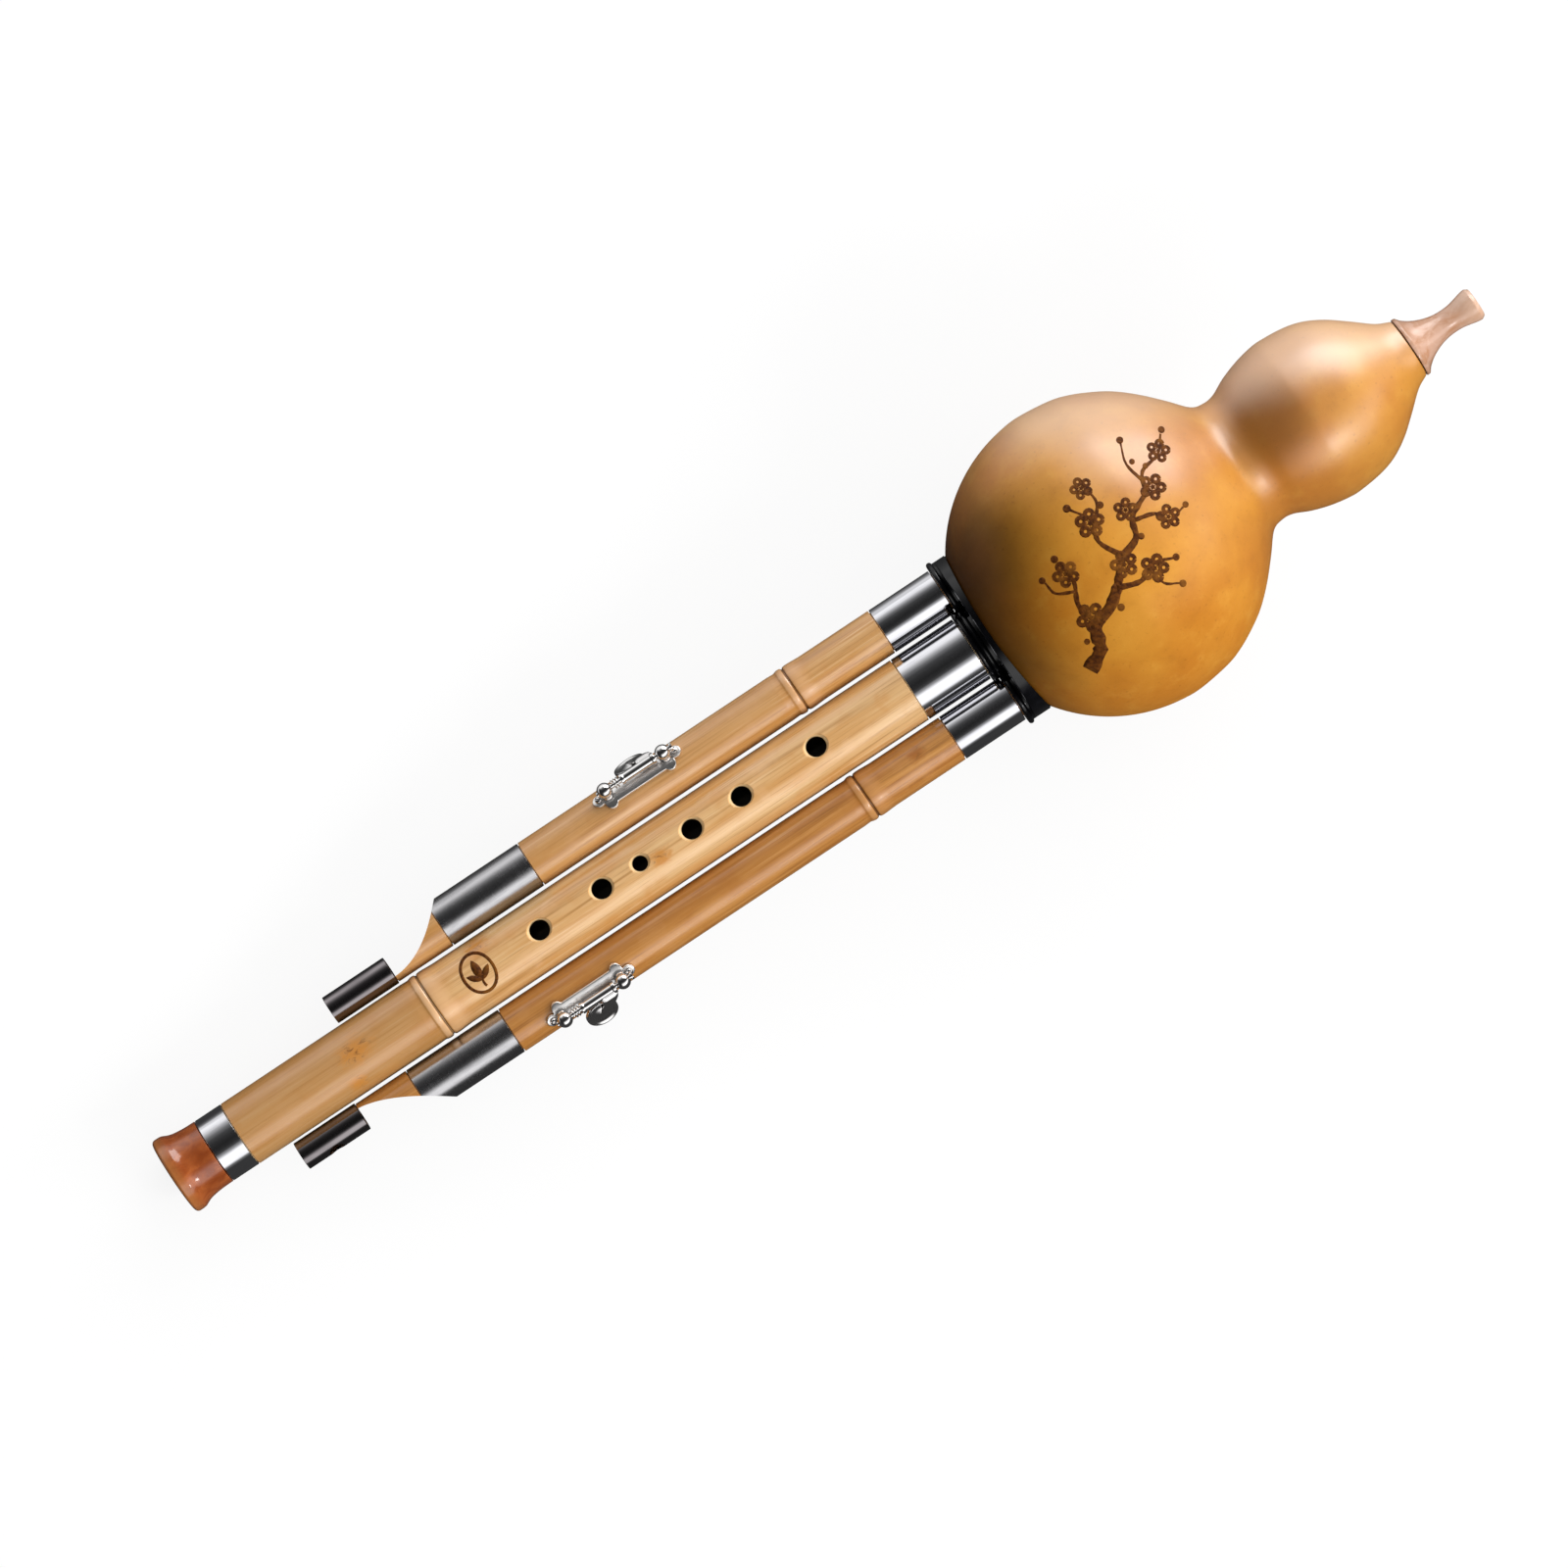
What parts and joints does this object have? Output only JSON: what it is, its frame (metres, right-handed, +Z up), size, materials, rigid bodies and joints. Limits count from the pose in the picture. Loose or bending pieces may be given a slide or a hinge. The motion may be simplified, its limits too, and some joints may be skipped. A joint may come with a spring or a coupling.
{
  "type": "hulusi",
  "caption": "Gourd free-reed pipe: hollow gourd wind chamber with mouthpiece, black socket base, fingered bamboo melody pipe with bell, and keyed bamboo drone pipes.",
  "frame": {"origin": "on the resting plane, under the centre of the bounding box of the instrument lying on the back of its gourd and on its bell", "axes": "+X from the bell to the mouthpiece, +Y towards the left drone pipe (the player's left), +Z up, the side of the finger holes"},
  "size_m": [0.4476, 0.0938, 0.0917],
  "materials": {
    "gourd": "satin lacquered dried gourd, amber, mottled",
    "mouthpiece": "polished translucent resin, pinkish cream",
    "cork": "matte cork",
    "socket": "glossy black moulded plastic",
    "bamboo": "satin lacquered golden bamboo",
    "dark_bamboo": "satin lacquered orange-brown bamboo",
    "bell": "polished reddish-brown resin",
    "polished_metal": "mirror polished",
    "brushed_metal": "satin, turned",
    "nickel": "polished nickel plate",
    "reed_metal": "drawn tube, lightly polished",
    "pad": "matte kid leather"
  },
  "bodies": {
    "wind_chamber": {"gourd_shell": "gourd", "mouthpiece": "mouthpiece", "mouthpiece_cork": "cork", "socket_base": "socket"},
    "melody": {"melody_pipe": "bamboo", "melody_bell": "bell", "bell_ferrule": "polished_metal", "melody_upper_ferrule": "polished_metal", "melody_tenon_cork": "cork", "melody_reed_tube": "reed_metal", "melody_reed_plate": "reed_metal"},
    "left_drone": {"left_drone_pipe": "bamboo", "left_upper_ferrule": "polished_metal", "left_mid_ferrule": "brushed_metal", "left_tail_sleeve": "polished_metal", "left_tenon_cork": "cork", "left_reed_tube": "reed_metal", "left_reed_plate": "reed_metal", "left_key_plate": "nickel", "left_key_rod": "nickel", "left_key_spring": "nickel", "left_key_post_lower": "nickel", "left_key_post_upper": "nickel", "left_key_screw_lower": "nickel", "left_key_screw_upper": "nickel"},
    "left_key": {"left_key_lever": "nickel", "left_key_pad": "pad"},
    "right_drone": {"right_drone_pipe": "dark_bamboo", "right_upper_ferrule": "polished_metal", "right_mid_ferrule": "brushed_metal", "right_tail_sleeve": "polished_metal", "right_tenon_cork": "cork", "right_reed_tube": "reed_metal", "right_reed_plate": "reed_metal", "right_key_plate": "nickel", "right_key_rod": "nickel", "right_key_spring": "nickel", "right_key_post_lower": "nickel", "right_key_post_upper": "nickel", "right_key_screw_lower": "nickel", "right_key_screw_upper": "nickel"},
    "right_key": {"right_key_lever": "nickel", "right_key_pad": "pad"}
  },
  "joints": [
    {"name": "melody_slide", "type": "slide", "parent": "wind_chamber", "child": "melody", "axis": [-0.9947, 0, -0.1032], "range_m": [0, 0.008]},
    {"name": "left_drone_slide", "type": "slide", "parent": "wind_chamber", "child": "left_drone", "axis": [-0.9947, 0, -0.1032], "range_m": [0, 0.008]},
    {"name": "right_drone_slide", "type": "slide", "parent": "wind_chamber", "child": "right_drone", "axis": [-0.9947, 0, -0.1032], "range_m": [0, 0.008]},
    {"name": "left_key_hinge", "type": "hinge", "parent": "left_drone", "child": "left_key", "pos_m": [-0.05091, 0.02301, 0.03903], "axis": [0.9947, 0, 0.1032], "range_deg": [0, 18]},
    {"name": "right_key_hinge", "type": "hinge", "parent": "right_drone", "child": "right_key", "pos_m": [-0.09607, -0.02515, 0.03434], "axis": [0.9947, 0, 0.1032], "range_deg": [0, 18]}
  ]
}
